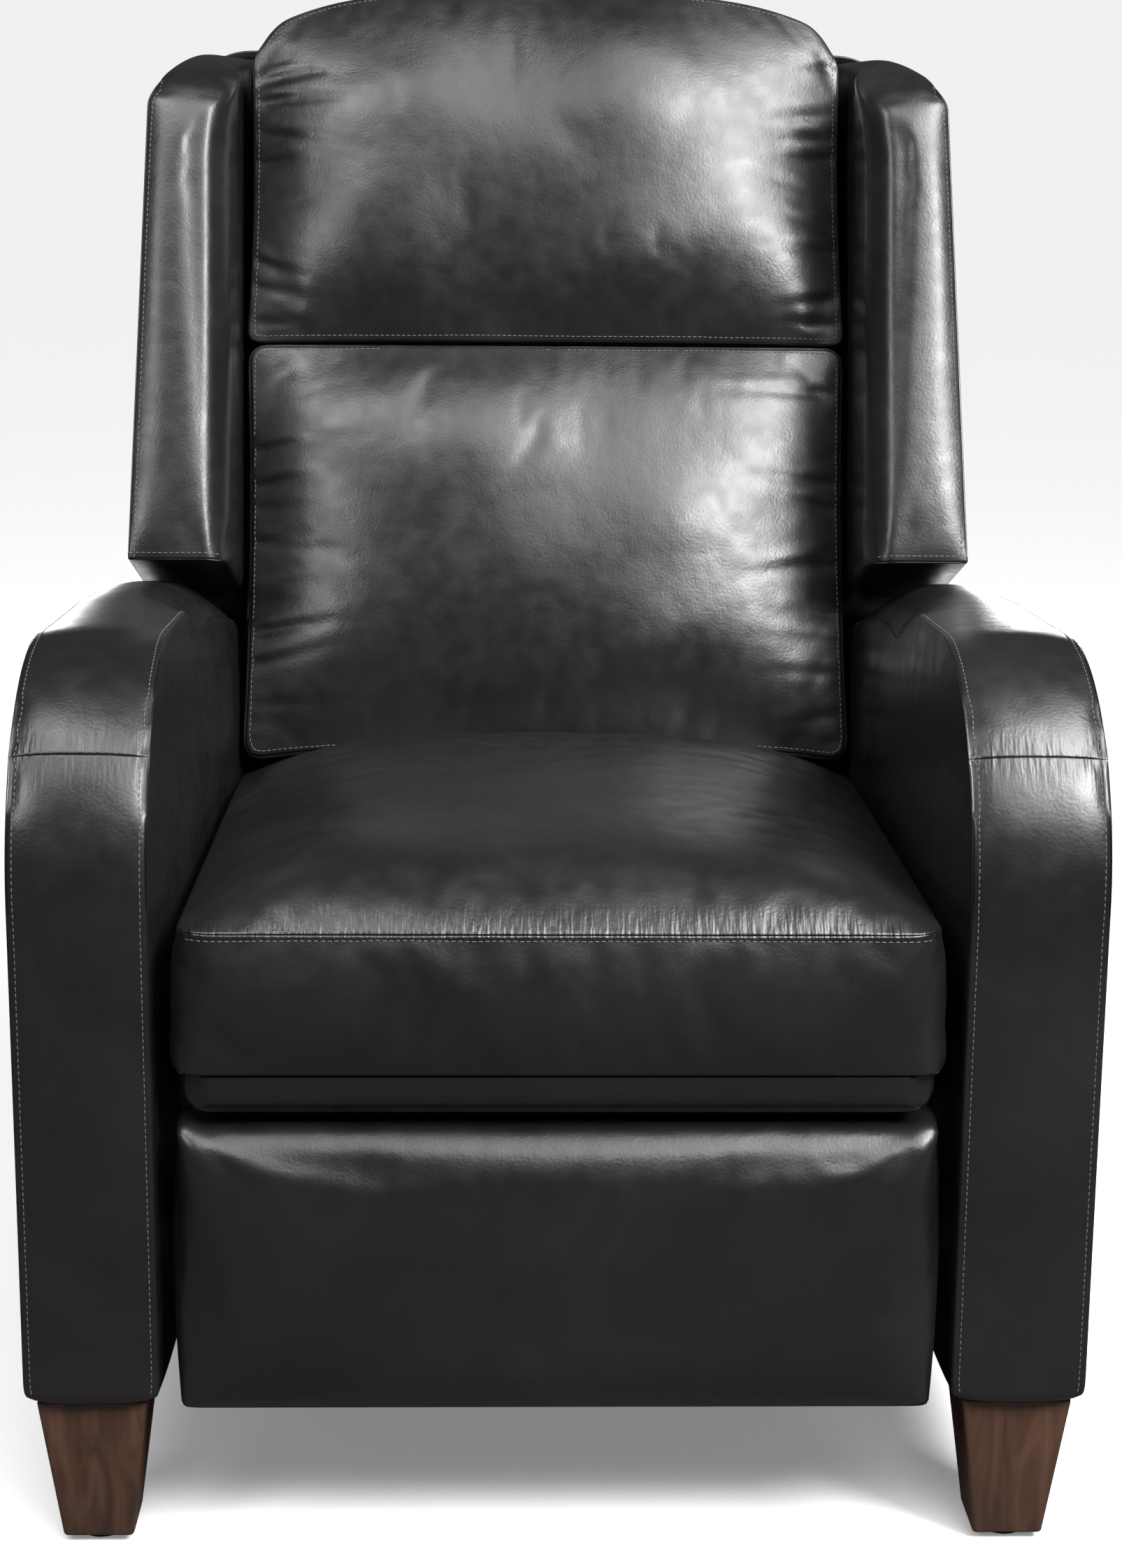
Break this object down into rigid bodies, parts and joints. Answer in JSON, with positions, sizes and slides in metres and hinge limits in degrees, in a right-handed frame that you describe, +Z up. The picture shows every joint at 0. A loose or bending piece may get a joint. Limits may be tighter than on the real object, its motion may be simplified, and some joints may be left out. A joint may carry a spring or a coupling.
{
  "type": "pushback recliner",
  "caption": "High-back pushback recliner with padded wings, curved slab arms, two back cushions, box seat and a fold-out footrest on links, standing on tapered wooden legs.",
  "frame": {"origin": "middle of the chair's plan, on the floor under the glides", "axes": "+X to the right seen from the front camera's side facing the chair, +Y to the rear, +Z up; the sitter faces -Y"},
  "size_m": [0.76, 0.8997, 1.1216],
  "materials": {
    "charcoal_leather": "semi-gloss, fine grain",
    "walnut_leg": "satin lacquer",
    "frame_wood": "dark stain, unpolished",
    "black_steel": "semi-gloss paint",
    "plain_steel": "zinc plated",
    "black_nylon": "moulded"
  },
  "bodies": {
    "base": {"left_arm_upholstery": "charcoal_leather", "right_arm_upholstery": "charcoal_leather", "left_arm_frame": "frame_wood", "right_arm_frame": "frame_wood", "base_stretcher": "frame_wood", "base_rear_rail": "frame_wood", "base_rear_cover": "charcoal_leather", "front_left_leg": "walnut_leg", "front_right_leg": "walnut_leg", "rear_left_leg": "walnut_leg", "rear_right_leg": "walnut_leg", "leg_bolts": "plain_steel", "floor_glides": "black_nylon", "left_base_plate": "black_steel", "right_base_plate": "black_steel", "base_plate_screws": "plain_steel", "roller_tracks": "black_steel", "base_cross_tube": "black_steel"},
    "seat": {"left_seat_plate": "black_steel", "right_seat_plate": "black_steel", "seat_side_rails": "frame_wood", "seat_front_rail": "frame_wood", "seat_rear_rail": "frame_wood", "seat_springs": "plain_steel", "seat_cross_tube": "black_steel", "roller_axles": "plain_steel", "seat_cushion": "charcoal_leather", "seat_front_band": "charcoal_leather", "seat_pivot_pins": "plain_steel", "seat_follower_pins": "plain_steel"},
    "back": {"left_back_stile": "frame_wood", "right_back_stile": "frame_wood", "back_bottom_rail": "frame_wood", "back_middle_rail": "frame_wood", "back_top_rail": "frame_wood", "back_springs": "plain_steel", "back_brackets": "black_steel", "back_guide_pins": "plain_steel", "lumbar_cushion": "charcoal_leather", "head_cushion": "charcoal_leather", "left_wing_upholstery": "charcoal_leather", "right_wing_upholstery": "charcoal_leather", "wing_frames": "frame_wood", "wing_rails": "frame_wood", "outside_back_panel": "charcoal_leather"},
    "front_rollers": {"front_rollers": "black_nylon"},
    "rear_rollers": {"rear_rollers": "black_nylon"},
    "drive_links": {"drive_links": "black_steel", "drive_link_pins": "plain_steel"},
    "coupler_links": {"coupler_links": "black_steel", "coupler_link_pins": "plain_steel"},
    "follower_links": {"follower_links": "black_steel", "follower_link_pins": "plain_steel"},
    "steady_links": {"steady_links": "black_steel", "steady_link_pins": "plain_steel"},
    "footrest": {"footrest_board": "frame_wood", "footrest_pad": "charcoal_leather", "footrest_brackets": "black_steel", "footrest_screws": "plain_steel"}
  },
  "joints": [
    {"name": "back_recline", "type": "hinge", "parent": "seat", "child": "back", "pos_m": [0, 0.1535, 0.33], "axis": [-1, 0, 0], "range_deg": [0, 25]},
    {"name": "seat_slide", "type": "slide", "parent": "base", "child": "seat", "axis": [0, -0.9945, 0.1045], "range_m": [0, 0.055]},
    {"name": "front_roller_spin", "type": "hinge", "parent": "seat", "child": "front_rollers", "pos_m": [0, -0.2545, 0.324], "axis": [1, 0, 0], "range_deg": [0, 242.41]},
    {"name": "rear_roller_spin", "type": "hinge", "parent": "seat", "child": "rear_rollers", "pos_m": [0, 0.0735, 0.324], "axis": [1, 0, 0], "range_deg": [0, 242.41]},
    {"name": "drive_swing", "type": "hinge", "parent": "seat", "child": "drive_links", "pos_m": [0, -0.3165, 0.306], "axis": [-1, 0, 0], "range_deg": [0, 85]},
    {"name": "follower_swing", "type": "hinge", "parent": "seat", "child": "follower_links", "pos_m": [0, -0.3575, 0.3345], "axis": [-1, 0, 0], "range_deg": [0, 85]},
    {"name": "coupler_turn", "type": "hinge", "parent": "drive_links", "child": "coupler_links", "pos_m": [0, -0.1865, 0.132], "axis": [-1, 0, 0], "range_deg": [-85, 0]},
    {"name": "steady_turn", "type": "hinge", "parent": "drive_links", "child": "steady_links", "pos_m": [0, -0.22602, 0.1849], "axis": [-1, 0, 0], "range_deg": [-85, 0]},
    {"name": "footrest_turn", "type": "hinge", "parent": "coupler_links", "child": "footrest", "pos_m": [0, -0.3365, 0.236], "axis": [-1, 0, 0], "range_deg": [0, 85]}
  ],
  "couplings": [
    {"joint": "seat_slide", "follows": "back_recline", "m_per_rad": 0.12605},
    {"joint": "front_roller_spin", "follows": "back_recline", "ratio": 9.6962},
    {"joint": "rear_roller_spin", "follows": "back_recline", "ratio": 9.6962},
    {"joint": "drive_swing", "follows": "back_recline", "ratio": 3.4},
    {"joint": "follower_swing", "follows": "back_recline", "ratio": 3.4},
    {"joint": "coupler_turn", "follows": "back_recline", "ratio": -3.4},
    {"joint": "steady_turn", "follows": "back_recline", "ratio": -3.4},
    {"joint": "footrest_turn", "follows": "back_recline", "ratio": 3.4}
  ]
}
